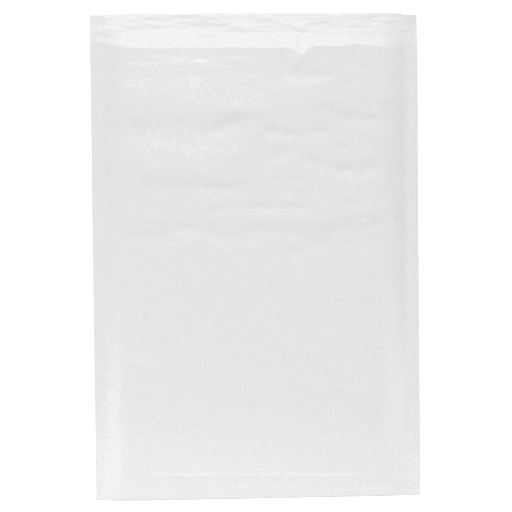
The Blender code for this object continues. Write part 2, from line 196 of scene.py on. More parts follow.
# Where a side seam hangs down or stands up. Each: its side, the y of its middle, half its length, how far in
# from the outer edge it starts and its drop
SEAM_DROPS = (
    (1, 0.1720, 0.012, 0.010, 0.0016),
    (-1, -0.1600, 0.110, 0.010, 0.0014),
    (1, -0.1600, 0.090, 0.028, -0.0026),
)

# How the folded sheet's mesh is spaced: its columns over half the padded body, over a shoulder and over a
# seam, and the least width of one beside the flap's edge
BODY_COLUMNS, SHOULDER_COLUMNS, SEAM_COLUMNS = 44, 9, 4
LEAST_COLUMN = 0.0004

# Its rows over the flap, round the mouth's fold, over the pressed mouth, under its crease, down the front,
# over the pressed line, down the bottom band and round the bottom fold, and how far the close rows reach
FLAP_ROWS, MOUTH_FOLD_ROWS, MOUTH_ROWS, CREASE_ROWS = 24, 14, 36, 16
FRONT_ROWS, LINE_ROWS, BAND_ROWS, BOTTOM_FOLD_ROWS = 170, 12, 28, 12
CREASE_ZONE = 0.012
LINE_ZONE = 0.006

# Its rows up the back to the flap, over the step onto the flap, over the flap and under the mouth
BACK_ROWS, STEP_ROWS, OVER_FLAP_ROWS, UNDER_MOUTH_ROWS = 40, 10, 8, 12

# The flat film's columns over a weld, over a shoulder and over the body, its rows down the mouth, down the
# body, down the bottom band and round its fold, how far above the lining's end that fold starts and how far
# each wall stays off the middle plane where they are welded
FILM_WELD_COLUMNS, FILM_SHOULDER_COLUMNS, FILM_BODY_COLUMNS = 2, 6, 20
FILM_MOUTH_ROWS, FILM_BODY_ROWS, FILM_BAND_ROWS, FILM_FOLD_ROWS = 10, 40, 8, 6
FILM_FOLD_START = 0.0002
WELD_CLEARANCE = 0.00001

# How many times as long the slack and the wrinkles fade under the mouth's crease as at the sides
CREASE_FADE = 1.5

SHARP_ANGLE = math.radians(50)
TOLERANCE = 0.000001

# The paper's roughness where its sheen noise is low and where it is high, and the range of that noise over
# which it changes
PAPER_ROUGHNESS = (0.42, 0.10)
SHEEN_RANGE = (0.465, 0.545)

# The sheen noise at which the painted sparkle specks of a patch begin, and at which they are full
SPECK_RANGE = (0.50, 0.375)

# How many times as fine as its grain a paper's tooth is
TOOTH_FINENESS = 4.0

# Least height of a bubble that is made, its clearance from the paper and where in the film's thickness its
# foot stands
LEAST_BUBBLE = 0.0008
BUBBLE_CLEARANCE = 0.0001
BUBBLE_FOOT = 0.9

# A bubble's dome: the rings of the ball that it is cut from, the height of the cut where the ball's radius
# is 1 and the power that flattens it
DOME_RINGS = 8
DOME_CUT = -0.01
DOME_POWER = 0.55

# Soft boxes, which look at the envelope's middle. Each: its name, its place, its width, its height and its
# strength, which is its radiance where white is 1
SOFT_BOXES = (
    ("top_soft_box", (0.0, 0.75, 1.1), 0.80, 0.30, 3.4),
    ("top_left_soft_box", (-0.60, 0.75, 1.1), 0.40, 0.40, 2.2),
    ("far_top_soft_box", (0.0, 1.30, 0.9), 0.90, 0.50, 4.0),
    ("low_top_soft_box", (0.0, 1.40, 0.35), 1.40, 0.30, 2.7),
    ("left_soft_box", (-0.80, -0.40, 1.0), 0.40, 0.40, 4.0),
    ("right_soft_box", (0.70, -0.35, 1.1), 0.40, 0.40, 2.7),
    ("near_soft_box", (-0.04, -0.36, 0.62), 0.80, 0.15, 3.6),
)
FILL_LIGHT = 0.342
SEEN_LIGHT = 1.0
FLOOR_GLOW = 0.70
FLOOR_HALF_WIDTH = 4.0

# The camera, as it was for the photo: its lens and its sensor's width in millimetres, its place and its turn
# in degrees
CAMERA_LENS, CAMERA_SENSOR = 85.0, 36.0
CAMERA_PLACE = (-0.0384, 0.0278, 0.8921)
CAMERA_TURN = (-1.733, -2.462, -0.537)


class EnvelopeSizes(bpy.types.PropertyGroup):
    seam_width: FloatProperty(
        name="Seam Width", description="Flat welded band down each side", default=0.0100, unit="LENGTH"
    )
    shoulder_width: FloatProperty(
        name="Shoulder Width", description="Slope from a side seam up to the padded body", default=0.0180,
        unit="LENGTH",
    )
    mouth_band: FloatProperty(
        name="Mouth Band", description="Crease of the padded body to the cut edge", default=0.0248,
        unit="LENGTH",
    )
    mouth_break: FloatProperty(
        name="Mouth Break", description="Second crease of the mouth to the cut edge", default=0.0100,
        unit="LENGTH",
    )
    mouth_break_rise: FloatProperty(
        name="Mouth Break Rise", description="Share of the body's height reached at the second crease",
        default=0.30, subtype="FACTOR",
    )
    mouth_pad: FloatProperty(
        name="Mouth Padding", description="One lining wall where the mouth is pressed", default=0.0004,
        unit="LENGTH",
    )
    fold_bulge: FloatProperty(
        name="Fold Bulge", description="How far the flap's fold stands past the cut edge", default=0.0016,
        unit="LENGTH",
    )
    bottom_band: FloatProperty(
        name="Bottom Band", description="Bottom fold to where the padding reaches its height",
        default=0.0145, unit="LENGTH",
    )
    bottom_share: FloatProperty(
        name="Bottom Share", description="Share of the body's height that is left at the bottom fold",
        default=0.90, subtype="FACTOR",
    )
    bottom_bulge: FloatProperty(
        name="Bottom Bulge", description="How far the bottom fold stands past the lining", default=0.0009,
        unit="LENGTH",
    )
    flap_length: FloatProperty(
        name="Flap Length", description="Cut edge of the mouth to the flap's free edge", default=0.0500,
        unit="LENGTH",
    )
    flap_inset: FloatProperty(
        name="Flap Inset", description="Side edge of the panel to side edge of the flap", default=0.0110,
        unit="LENGTH",
    )
    flap_taper: FloatProperty(
        name="Flap Taper", description="How much further in each side is at the free edge", default=0.0060,
        unit="LENGTH",
    )
    flap_corner: FloatProperty(
        name="Flap Corner", description="Radius of the flap's corners", default=0.0080, unit="LENGTH"
    )
    flap_ramp: FloatProperty(
        name="Flap Ramp", description="Length over which the back panel rises onto the flap", default=0.0120,
        unit="LENGTH",
    )
    paper: FloatProperty(
        name="Paper", description="Thickness of the paper", default=0.0002, unit="LENGTH"
    )
    paper_gap: FloatProperty(
        name="Paper Gap", description="Clearance between paper and film", default=0.0002, unit="LENGTH"
    )
    pad: FloatProperty(
        name="Padding", description="Height of one wall of bubble film", default=0.0028, unit="LENGTH"
    )
    pocket_gap: FloatProperty(
        name="Pocket Gap", description="Between the two walls of the empty pocket", default=0.0006,
        unit="LENGTH",
    )
    weld: FloatProperty(
        name="Weld", description="Thickness of both films where they are welded", default=0.0003,
        unit="LENGTH",
    )
    flap_stack: FloatProperty(
        name="Flap Stack", description="Flap, adhesive strip and liner with their gaps", default=0.00105,
        unit="LENGTH",
    )
    slack: FloatProperty(
        name="Paper Slack", description="How far the front panel stands off the film", default=0.0011,
        unit="LENGTH",
    )
    slack_fade: FloatProperty(
        name="Slack Fade", description="From the body's edges to full slack", default=0.0300, unit="LENGTH"
    )
    wrinkle_fade: FloatProperty(
        name="Wrinkle Fade", description="From the body's edges to full wrinkles", default=0.0080,
        unit="LENGTH",
    )
    bottom_fade: FloatProperty(
        name="Bottom Fade", description="From the bottom band to full slack", default=0.0800, unit="LENGTH"
    )
    crumple_low: FloatProperty(
        name="Crumple Low", description="Place along Y where the crumple has faded away", default=-0.085,
        unit="LENGTH",
    )
    crumple_high: FloatProperty(
        name="Crumple High", description="Place along Y from which the crumple is full", default=0.015,
        unit="LENGTH",
    )
    film: FloatProperty(
        name="Film", description="Thickness of the lining's flat film", default=0.00012, unit="LENGTH"
    )
    bubble_diameter: FloatProperty(
        name="Bubble Diameter", description="Width of one air bubble", default=0.0100, unit="LENGTH"
    )
    bubble_pitch: FloatProperty(
        name="Bubble Pitch", description="Middle of one bubble to the next", default=0.0115, unit="LENGTH"
    )
    bubble_sides: IntProperty(
        name="Bubble Sides", description="Sides of one bubble's mesh", default=10, min=6
    )


class EnvelopeColours(bpy.types.PropertyGroup):
    paper: FloatVectorProperty(
        name="Paper", description="Darker specks of the mottled paper", default=(0.74, 0.74, 0.74), size=3,
        subtype="COLOR",
    )
    paper_shade: FloatVectorProperty(
        name="Paper Shade", description="Those specks where the pulp is thinner", default=(0.72, 0.72, 0.72),
        size=3, subtype="COLOR",
    )
    paper_light: FloatVectorProperty(
        name="Paper Light", description="Lighter specks of the mottled paper", default=(0.81, 0.81, 0.81),
        size=3, subtype="COLOR",
    )
    # Colour of the painted highlight along the pressed line, lighter than the paper, for light on its ridge
    pressed: FloatVectorProperty(
        name="Pressed Line", description="Line above the bottom band", default=(0.81, 0.81, 0.81), size=3,
        subtype="COLOR",
    )
    # Colour of the painted sparkle: lighter specks that stand in for glints of gloss
    painted_sparkle: FloatVectorProperty(
        name="Painted_Sparkle", description="Specks where the paper is rubbed", default=(0.86, 0.86, 0.86), size=3,
        subtype="COLOR",
    )
    fibre: FloatVectorProperty(
        name="Fibre", description="Stray dark fibres", default=(0.50, 0.50, 0.50), size=3, subtype="COLOR"
    )
    film: FloatVectorProperty(
        name="Film", description="Bubble film", default=(0.86, 0.88, 0.90), size=3, subtype="COLOR"
    )
    adhesive: FloatVectorProperty(
        name="Adhesive", description="Hot-melt adhesive", default=(0.78, 0.72, 0.52), size=3,
        subtype="COLOR",
    )
    liner: FloatVectorProperty(
        name="Liner", description="Silicone release liner", default=(0.82, 0.82, 0.80), size=3,
        subtype="COLOR",
    )
    floor: FloatVectorProperty(
        name="Floor", description="Plain floor", default=(0.85, 0.85, 0.85), size=3, subtype="COLOR"
    )


class Levels:
    """Heights and places of the envelope, worked out from its sizes and the frame."""

    def __init__(self, sizes):
        self.sizes = sizes
        self.half_width = (LINING_HIGH[0] - LINING_LOW[0]) / 2
        self.body_bottom = sizes.paper + sizes.paper_gap
        self.seam = self.body_bottom + sizes.pad + sizes.pocket_gap / 2
        self.body_top = self.seam + sizes.pocket_gap / 2 + sizes.pad
        self.mouth_bottom = sizes.flap_stack + sizes.paper + sizes.paper_gap
        self.mouth = self.mouth_bottom + sizes.mouth_pad + sizes.pocket_gap / 2
        self.mouth_top = self.mouth + sizes.pocket_gap / 2 + sizes.mouth_pad
        self.paper_offset = sizes.paper_gap + sizes.paper / 2
        self.seam_fold_radius = sizes.weld / 2 + self.paper_offset
        self.mouth_y = LINING_HIGH[1]
        self.crease_y = self.mouth_y - sizes.mouth_band
        self.break_y = self.mouth_y - sizes.mouth_break
        self.bottom_y = LINING_LOW[1]
        self.band_y = self.bottom_y + sizes.bottom_band
        self.flap_edge_y = self.mouth_y - sizes.flap_length
        self.flap_foot_y = self.flap_edge_y - sizes.flap_ramp
        self.body_edge = self.half_width - sizes.seam_width
        self.body_flat = self.body_edge - sizes.shoulder_width
        self.flap_half = self.half_width - sizes.flap_inset
        self.wrinkles = placed_wrinkles()

    def shoulder(self, x):
        """0 on the side seam, 1 on the padded body, steepest at the seam."""
        left = 1 - np.clip((self.body_edge - np.abs(x)) / self.sizes.shoulder_width, 0.0, 1.0)
        return 1 - left * left

    def mouth_rise(self, x, y):
        """Share of the body's height along the pressed mouth: 1 at the crease, 0 at the cut edge."""
        rise = self.sizes.mouth_break_rise
        below = rise + (1 - rise) * between(y, self.break_y, self.crease_line(x))
        return np.where(y < self.break_y, below, rise * between(y, self.mouth_y, self.break_y))

    def crease_line(self, x):
        """Where the crease between the pressed mouth and the padded body lies along Y."""
        return self.crease_y + swells(CREASE_WAVES, x)

    def bottom_rise(self, y):
        """Share of the body's height along the bottom band: least at the fold, 1 past the band."""
        return 1 - (1 - self.sizes.bottom_share) * between(y, self.band_y, self.bottom_y) ** 2

    def middle(self, x, y):
        """Height of the lining's middle plane, which dips towards the mouth and hangs along the seams."""
        level = self.seam + (self.mouth - self.seam) * smooth(between(y, self.crease_y, self.mouth_y))
        for side, middle_y, half_length, reach, drop in SEAM_DROPS:
            outside = smooth(between(side * x, self.half_width - reach, self.half_width))
            level = level - drop * outside * np.exp(-(((y - middle_y) / half_length) ** 2))
        return level

    def lining_top(self, x, y):
        edge = self.middle(x, y) + self.sizes.weld / 2
        pressed = self.mouth_top + (self.body_top - self.mouth_top) * self.mouth_rise(x, y)
        padded = edge + (self.body_top - edge) * self.bottom_rise(y)
        return edge + (np.where(y > self.crease_line(x), pressed, padded) - edge) * self.shoulder(x)

    def lining_bottom(self, x, y):
        edge = self.middle(x, y) - self.sizes.weld / 2
        lift = smooth(between(y, self.flap_foot_y, self.flap_edge_y))
        lying = self.body_bottom + (self.mouth_bottom - self.body_bottom) * lift
        return edge + (lying - edge) * self.bottom_rise(y) * self.shoulder(x)

    def inside(self, x, y, fade):
        """0 at the edges of the padded body, 1 further inside than fade."""
        side = smooth((self.body_edge - np.abs(x)) / fade)
        bottom = smooth((y - self.band_y) / self.sizes.bottom_fade)
        return side * smooth((self.crease_line(x) - y) / (CREASE_FADE * fade)) * bottom

    def slack(self, x, y):
        """How far the front panel stands off the film."""
        sizes = self.sizes
        loose = sizes.slack * self.inside(x, y, sizes.slack_fade)
        faded = smooth(between(y, sizes.crumple_low, sizes.crumple_high))
        marks = ridges(self.wrinkles, x, y) + faded * crumple(CRUMPLES, x, y)
        return np.maximum(0.0, loose + marks * self.inside(x, y, sizes.wrinkle_fade))

    def mouth_marks(self, x, y):
        """Crumple and creases of the pressed mouth."""
        side = smooth((self.half_width - np.abs(x)) / self.sizes.seam_width)
        upper = smooth(between(y, self.crease_y, self.break_y))
        return side * upper * crumple(MOUTH_CRUMPLES, x, y) + ridges(CREASES, x, y)

    def front(self, x, y):
        """Height of the middle of the front panel's paper."""
        return self.lining_top(x, y) + self.paper_offset + self.slack(x, y) + self.mouth_marks(x, y)

    def fold_bulge(self, x):
        """How far the flap's fold stands past the cut edge."""
        return self.sizes.fold_bulge + swells(FOLD_WAVES, x)

    def back(self, x, y):
        """Height of the middle of the back panel's paper."""
        return self.lining_bottom(x, y) - self.paper_offset


def smooth(t):
    t = np.clip(t, 0.0, 1.0)
    return t * t * (3 - 2 * t)


def between(value, low, high):
    """0 at low, 1 at high, and straight in between."""
    return np.clip((value - low) / (high - low), 0.0, 1.0)


def spaced(first, last, steps):
    """The places from first to last in equal steps, without first."""
    return [first + (last - first) * i / steps for i in range(1, steps + 1)]


def swells(marks, x):
    """Height of a list of soft swells at x."""
    return sum(rise * np.exp(-(((x - middle) / half_width) ** 2)) for middle, half_width, rise in marks)


def waves(x, y, seed):
    """Smooth noise from -1 to 1 at x and y."""
    x, y = np.broadcast_arrays(x, y)
    return np.array([noise.noise((a, b, seed)) for a, b in zip(x.flat, y.flat)]).reshape(x.shape)


def placed_wrinkles():
    """The crests and dents that were placed on the photo, in metres on the envelope."""
    wrinkles = []
    for marks, strength, above in ((CRESTS, CREST_STRENGTH, 0.0), (DENTS, -DENT_STRENGTH, DARK_LINE)):
        for x, y, half_length, half_width, share, turn in marks:
            middle_x = (x - PHOTO_ORIGIN[0]) * PHOTO_PIXEL[0]
            middle_y = (PHOTO_ORIGIN[1] - y) * PHOTO_PIXEL[1] - above * half_width
            rise = strength * share * half_width
            wrinkles.append((middle_x, middle_y, half_length * PHOTO_PIXEL[0], half_width, rise, turn))
    return wrinkles


def crumple(marks, x, y):
    """Height of several sizes of smooth noise, each stretched along X, at x and y."""
    return sum(depth * waves(x / along, y / across, seed) for along, across, depth, seed in marks)


def ridges(marks, x, y):
    """Height of a list of long soft ridges and dents at x and y. Each is steeper on the side that looks down
    the envelope."""
    height = np.zeros(np.broadcast(x, y).shape)
    for middle_x, middle_y, half_length, half_width, rise, turn in marks:
        cosine, sine = math.cos(math.radians(turn)), math.sin(math.radians(turn))
        along = ((x - middle_x) * cosine + (y - middle_y) * sine) / half_length
        across = ((y - middle_y) * cosine - (x - middle_x) * sine) / half_width
        across = np.where(across * rise > 0, across / WRINKLE_LEAN, across)
        height += rise * np.exp(-along * along - across * across)
    return height


def folded_grid(name, places, rows):
    """A grid mesh whose vertices are placed by rows: each row is a function of the places across X that
    gives their x, y and z. Returns the mesh and, for each vertex, its column and row."""
    across, along = len(places), len(rows)
    mesh = bpy.data.meshes.new(name)
    bm = bmesh.new()
    bmesh.ops.create_grid(bm, x_segments=across - 1, y_segments=along - 1, size=0.5)
    bm.to_mesh(mesh)
    bm.free()
    flat = np.empty(len(mesh.vertices) * 3)
    mesh.vertices.foreach_get("co", flat)
    flat = flat.reshape(-1, 3)
    column = np.rint((flat[:, 0] + 0.5) * (across - 1)).astype(int)
    row = np.rint((flat[:, 1] + 0.5) * (along - 1)).astype(int)
    table = np.array([np.stack(np.broadcast_arrays(*place(places)), axis=1) for place in rows])
    mesh.vertices.foreach_set("co", table[row, column].ravel())
    return mesh, column, row


def mark_painted_sparkle(mesh, levels):
    """Writes the mask of the painted sparkle, lighter specks that stand in for glints of gloss, to the mesh,
    on its front panel alone.
    """
    flat = np.empty(len(mesh.vertices) * 3)
    mesh.vertices.foreach_get("co", flat)
    x, y, z = flat.reshape(-1, 3).T
    painted_sparkle = np.where(z > levels.seam, np.clip(ridges(PAINTED_SPARKLE_PATCHES, x, y), 0.0, 1.0), 0.0)
    mesh.attributes.new("painted_sparkle", "FLOAT", "POINT").data.foreach_set("value", painted_sparkle)


def link_piece(name, mesh, material):
    obj = bpy.data.objects.new(name, mesh)
    bpy.context.scene.collection.objects.link(obj)
    mesh.materials.clear()
    mesh.materials.append(material)
    return obj


def plain_mesh(obj):
    """The object's mesh with its modifiers applied, in place of the object."""
    graph = bpy.context.evaluated_depsgraph_get()
    mesh = bpy.data.meshes.new_from_object(obj.evaluated_get(graph))
    bpy.data.objects.remove(obj, do_unlink=True)
    return mesh


def thickened(obj, thickness):
    """A plain mesh of a sheet with its thickness, in place of the sheet."""
    wall = obj.modifiers.new("wall", "SOLIDIFY")
    wall.thickness = thickness
    wall.offset = 0.0
    return plain_mesh(obj)


def face_outwards(mesh):
    bm = bmesh.new()
    bm.from_mesh(mesh)
    bmesh.ops.recalc_face_normals(bm, faces=bm.faces)
    bm.to_mesh(mesh)
    bm.free()


def jacket_columns(levels):
    """Places across X, closer together over the shoulders, with one on each side edge of the flap."""
    right = spaced(0.0, levels.body_flat, BODY_COLUMNS)
    right += spaced(levels.body_flat, levels.body_edge, SHOULDER_COLUMNS)
    right += spaced(levels.body_edge, levels.half_width, SEAM_COLUMNS)
    right = [x for x in right if abs(x - levels.flap_half) > LEAST_COLUMN] + [levels.flap_half]
    right = sorted(right)
    return np.array([-x for x in reversed(right)] + [0.0] + right)


def jacket_rows(levels):
    """The sheet's rows along the paper, from the flap's free edge over the mouth, down the front, round the
    bottom fold and up the back, and how many of them belong to the flap."""
    sizes = levels.sizes

    def flap_row(share):
        def place(x):
            corner = sizes.flap_corner
            past = np.clip(np.abs(x) - (levels.flap_half - corner), 0.0, corner)
            length = sizes.flap_length - corner + np.sqrt(corner**2 - past**2)
            along = length * (1 - share)
            narrowing = 1 - sizes.flap_taper / levels.flap_half * along / sizes.flap_length
            return x * narrowing, levels.mouth_y - along, np.full_like(x, sizes.paper / 2)

        return place

    def mouth_fold_row(turn):
        def place(x):
            low, high = sizes.paper / 2, levels.front(x, levels.mouth_y)
            y = levels.mouth_y + levels.fold_bulge(x) * math.sin(turn)
            return x, y, (low + high) / 2 - (high - low) / 2 * math.cos(turn)

        return place

    def bottom_fold_row(turn):
        def place(x):
            high, low = levels.front(x, levels.bottom_y), levels.back(x, levels.bottom_y)
            radius = levels.seam_fold_radius
            bulge = radius + (sizes.bottom_bulge - radius) * levels.shoulder(x)
            y = levels.bottom_y - bulge * math.sin(turn)
            return x, y, (high + low) / 2 + (high - low) / 2 * math.cos(turn)

        return place

    flap = [flap_row(i / FLAP_ROWS) for i in range(FLAP_ROWS)]
    flap += [mouth_fold_row(math.pi * i / MOUTH_FOLD_ROWS) for i in range(MOUTH_FOLD_ROWS)]
    creased = levels.crease_y - CREASE_ZONE
    lined = levels.band_y + LINE_ZONE
    band = spaced(levels.band_y, levels.bottom_y, BAND_ROWS)
    front = [levels.mouth_y] + spaced(levels.mouth_y, levels.crease_y, MOUTH_ROWS)
    front += spaced(levels.crease_y, creased, CREASE_ROWS) + spaced(creased, lined, FRONT_ROWS)
    front += spaced(lined, levels.band_y, LINE_ROWS) + band
    back = list(reversed(band)) + [levels.band_y] + spaced(levels.band_y, levels.flap_foot_y, BACK_ROWS)
    back += spaced(levels.flap_foot_y, levels.flap_edge_y, STEP_ROWS)
    back += spaced(levels.flap_edge_y, levels.crease_y, OVER_FLAP_ROWS)
    back += spaced(levels.crease_y, levels.mouth_y, UNDER_MOUTH_ROWS)
    rows = flap + [lambda x, y=y: (x, np.full_like(x, y), levels.front(x, y)) for y in front]
    rows += [bottom_fold_row(math.pi * i / BOTTOM_FOLD_ROWS) for i in range(1, BOTTOM_FOLD_ROWS)]
    rows += [lambda x, y=y: (x, np.full_like(x, y), levels.back(x, y)) for y in back]
    return rows, len(flap)


def new_group(name, inputs, outputs):
    """A shader node group with its sockets, and its input and output nodes. Each socket is (name, type,
    default)."""
    tree = bpy.data.node_groups.new(name, "ShaderNodeTree")
    for socket_name, kind, default in inputs:
        socket = tree.interface.new_socket(socket_name, in_out="INPUT", socket_type=kind)
        if default is not None:
            socket.default_value = default
    for socket_name, kind in outputs:
        tree.interface.new_socket(socket_name, in_out="OUTPUT", socket_type=kind)
    return tree, tree.nodes.new("NodeGroupInput"), tree.nodes.new("NodeGroupOutput")


def math_node(tree, operation, first, second):
    node = tree.nodes.new("ShaderNodeMath")
    node.operation = operation
    for socket, value in zip(node.inputs, (first, second)):
        if isinstance(value, (int, float)):
            socket.default_value = value
        else:
            tree.links.new(value, socket)
    return node.outputs[0]


def ramp_node(tree, value, first, last, start, end):
    """start where the value is first, end where it is last, straight in between and level past them."""
    node = tree.nodes.new("ShaderNodeMapRange")
    for name, number in (("From Min", first), ("From Max", last), ("To Min", start), ("To Max", end)):
        node.inputs[name].default_value = number
    tree.links.new(value, node.inputs["Value"])
    return node.outputs["Result"]


def paper_grain_group():
    """Height of a paper's surface: felt grain, fine tooth and slow waves, in metres."""
    tree, given, made = new_group(
        "Paper Grain",
        [
            ("Vector", "NodeSocketVector", None),
            ("Grain Size", "NodeSocketFloat", 0.0018),
            ("Grain Depth", "NodeSocketFloat", 0.00017),
            ("Tooth Depth", "NodeSocketFloat", 0.00001),
            ("Wave Size", "NodeSocketFloat", 0.012),
            ("Wave Depth", "NodeSocketFloat", 0.00003),
        ],
        [("Height", "NodeSocketFloat")],
    )
    total = 0.0
    for size, depth, detail in (("Grain Size", "Grain Depth", 1.0), ("Wave Size", "Wave Depth", 1.0)):
        scale = math_node(tree, "DIVIDE", 1.0, given.outputs[size])
        grain = tree.nodes.new("ShaderNodeTexNoise")
        grain.inputs["Detail"].default_value = detail
        tree.links.new(given.outputs["Vector"], grain.inputs["Vector"])
        tree.links.new(scale, grain.inputs["Scale"])
        height = math_node(tree, "MULTIPLY", grain.outputs["Fac"], given.outputs[depth])
        total = math_node(tree, "ADD", total, height)
    tooth = tree.nodes.new("ShaderNodeTexNoise")
    tree.links.new(given.outputs["Vector"], tooth.inputs["Vector"])
    fine = math_node(tree, "DIVIDE", TOOTH_FINENESS, given.outputs["Grain Size"])
    tree.links.new(fine, tooth.inputs["Scale"])
    height = math_node(tree, "MULTIPLY", tooth.outputs["Fac"], given.outputs["Tooth Depth"])
    tree.links.new(math_node(tree, "ADD", total, height), made.inputs["Height"])
    return tree


def paper_tone_group():
    """Masks of a paper's cloudy pulp, its fine mottle, its uneven sheen and the few dark fibres in it."""
    tree, given, made = new_group(
        "Paper Tone",
        [
            ("Vector", "NodeSocketVector", None),
            ("Cloud Size", "NodeSocketFloat", 0.009),
            ("Mottle Size", "NodeSocketFloat", 0.0013),
            ("Sheen Size", "NodeSocketFloat", 0.0009),
            ("Fibre Spacing", "NodeSocketFloat", 0.018),
            ("Fibre Size", "NodeSocketFloat", 0.00032),
        ],
        [
            ("Cloud", "NodeSocketFloat"),
            ("Mottle", "NodeSocketFloat"),
            ("Sheen", "NodeSocketFloat"),
            ("Fibres", "NodeSocketFloat"),
        ],
    )
    for name, detail in (("Cloud", 3.0), ("Mottle", 1.0), ("Sheen", 0.0)):
        clouds = tree.nodes.new("ShaderNodeTexNoise")
        clouds.inputs["Detail"].default_value = detail
        tree.links.new(given.outputs["Vector"], clouds.inputs["Vector"])
        scale = math_node(tree, "DIVIDE", 1.0, given.outputs[f"{name} Size"])
        tree.links.new(scale, clouds.inputs["Scale"])
        tree.links.new(clouds.outputs["Fac"], made.inputs[name])
    cells = tree.nodes.new("ShaderNodeTexVoronoi")
    cells.feature = "F1"
    tree.links.new(given.outputs["Vector"], cells.inputs["Vector"])
    tree.links.new(math_node(tree, "DIVIDE", 1.0, given.outputs["Fibre Spacing"]), cells.inputs["Scale"])
    reach = math_node(tree, "DIVIDE", given.outputs["Fibre Size"], given.outputs["Fibre Spacing"])
    mask = math_node(tree, "LESS_THAN", cells.outputs["Distance"], reach)
    tree.links.new(mask, made.inputs["Fibres"])
    return tree


def place_group(material, group, **values):
    """Puts a node group in a material, fed with Object coordinates, with its own values."""
    nodes, links = material.node_tree.nodes, material.node_tree.links
    node = nodes.new("ShaderNodeGroup")
    node.node_tree = group
    coordinates = nodes.new("ShaderNodeTexCoord")
    links.new(coordinates.outputs["Object"], node.inputs["Vector"])
    for name, value in values.items():
        node.inputs[name.replace("_", " ")].default_value = value
    return node


def plain_material(name, colour, roughness=0.5, specular=0.5):
    material = bpy.data.materials.new(name)
    material.use_nodes = True
    shader = material.node_tree.nodes["Principled BSDF"]
    shader.inputs["Base Color"].default_value = (*colour, 1.0)
    shader.inputs["Roughness"].default_value = roughness
    shader.inputs["Specular IOR Level"].default_value = specular
    return material, shader


def mix_colours(material, factor, first, second):
    node = material.node_tree.nodes.new("ShaderNodeMix")
    node.data_type = "RGBA"
    material.node_tree.links.new(factor, node.inputs["Factor"])
    for socket, value in ((node.inputs["A"], first), (node.inputs["B"], second)):
        if isinstance(value, bpy.types.NodeSocket):
            material.node_tree.links.new(value, socket)
        else:
            socket.default_value = (*value, 1.0)
    return node.outputs["Result"]


def bump_from(material, height, shader):
    bump = material.node_tree.nodes.new("ShaderNodeBump")
    bump.inputs["Distance"].default_value = 1.0
    material.node_tree.links.new(height, bump.inputs["Height"])
    material.node_tree.links.new(bump.outputs["Normal"], shader.inputs["Normal"])


def painted_line_highlight_mask(tree):
    """Mask of the painted highlight: 1 in the middle of the pressed line, falling to 0 at its sides and its
    ends.
    """
    middle, half_width, half_length, climb, full = PAINTED_LINE_HIGHLIGHT
    coordinates = tree.nodes.new("ShaderNodeTexCoord")
    split = tree.nodes.new("ShaderNodeSeparateXYZ")
    tree.links.new(coordinates.outputs["Object"], split.inputs[0])
    climbing = math_node(tree, "MULTIPLY", split.outputs["X"], climb)
    above = math_node(tree, "SUBTRACT", math_node(tree, "SUBTRACT", split.outputs["Y"], climbing), middle)
    across = ramp_node(tree, math_node(tree, "ABSOLUTE", above, 0.0), 0.0, half_width, 1.0, 0.0)
    beside = math_node(tree, "ABSOLUTE", split.outputs["X"], 0.0)
    ends = ramp_node(tree, beside, full * half_length, half_length, 1.0, 0.0)
    return math_node(tree, "MULTIPLY", across, ends)


def white_paper_material(colours, grain, tone):
    material, shader = plain_material("white_paper", colours.paper)
    tree = material.node_tree
    tones = place_group(material, tone)
    pulp = mix_colours(material, tones.outputs["Cloud"], colours.paper_shade, colours.paper)
    mottled = mix_colours(material, tones.outputs["Mottle"], pulp, colours.paper_light)
    # Painted highlight: the pressed line is made lighter in the base colour
    lined = mix_colours(material, painted_line_highlight_mask(tree), mottled, colours.pressed)
    # Painted sparkle: lighter specks in the base colour that stand in for glints of gloss on the front panel
    painted_sparkle = tree.nodes.new("ShaderNodeAttribute")
    painted_sparkle.attribute_name = "painted_sparkle"
    specks = ramp_node(tree, tones.outputs["Sheen"], *SPECK_RANGE, 0.0, 1.0)
    shining = math_node(tree, "MULTIPLY", specks, painted_sparkle.outputs["Fac"])
    specked = mix_colours(material, shining, lined, colours.painted_sparkle)
    surface = mix_colours(material, tones.outputs["Fibres"], specked, colours.fibre)
    tree.links.new(surface, shader.inputs["Base Color"])
    uneven = ramp_node(tree, tones.outputs["Sheen"], *SHEEN_RANGE, *PAPER_ROUGHNESS)
    tree.links.new(uneven, shader.inputs["Roughness"])
    grains = place_group(material, grain)
    bump_from(material, grains.outputs["Height"], shader)
    return material


class ENVELOPE_OT_fold_jacket(bpy.types.Operator):
    """Fold the white paper sheet round the lining, with its flap turned under"""

    bl_idname = "envelope.fold_jacket"
    bl_label = "Fold Paper Jacket"

    def execute(self, context):
        sizes = context.scene.envelope_sizes
        levels = Levels(sizes)
        places = jacket_columns(levels)
        rows, flap_rows = jacket_rows(levels)
        mesh, column, row = folded_grid("folded_jacket", places, rows)
        mark_painted_sparkle(mesh, levels)
        bm = bmesh.new()
        bm.from_mesh(mesh)
        bm.verts.ensure_lookup_table()
        beside = np.flatnonzero((row < flap_rows) & (np.abs(places[column]) > levels.flap_half + TOLERANCE))
        bmesh.ops.delete(bm, geom=[bm.verts[i] for i in beside], context="VERTS")
        bmesh.ops.recalc_face_normals(bm, faces=bm.faces)
        bm.to_mesh(mesh)
        bm.free()
        grain, tone = paper_grain_group(), paper_tone_group()
        material = white_paper_material(context.scene.envelope_colours, grain, tone)
        mesh = thickened(link_piece("sheet", mesh, material), sizes.paper)
        mesh.shade_smooth()
        mesh.set_sharp_from_angle(angle=SHARP_ANGLE)
        jacket = link_piece("folded_jacket", mesh, material)
        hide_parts("paper_jacket")
        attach(jacket, "root")
        return {"FINISHED"}


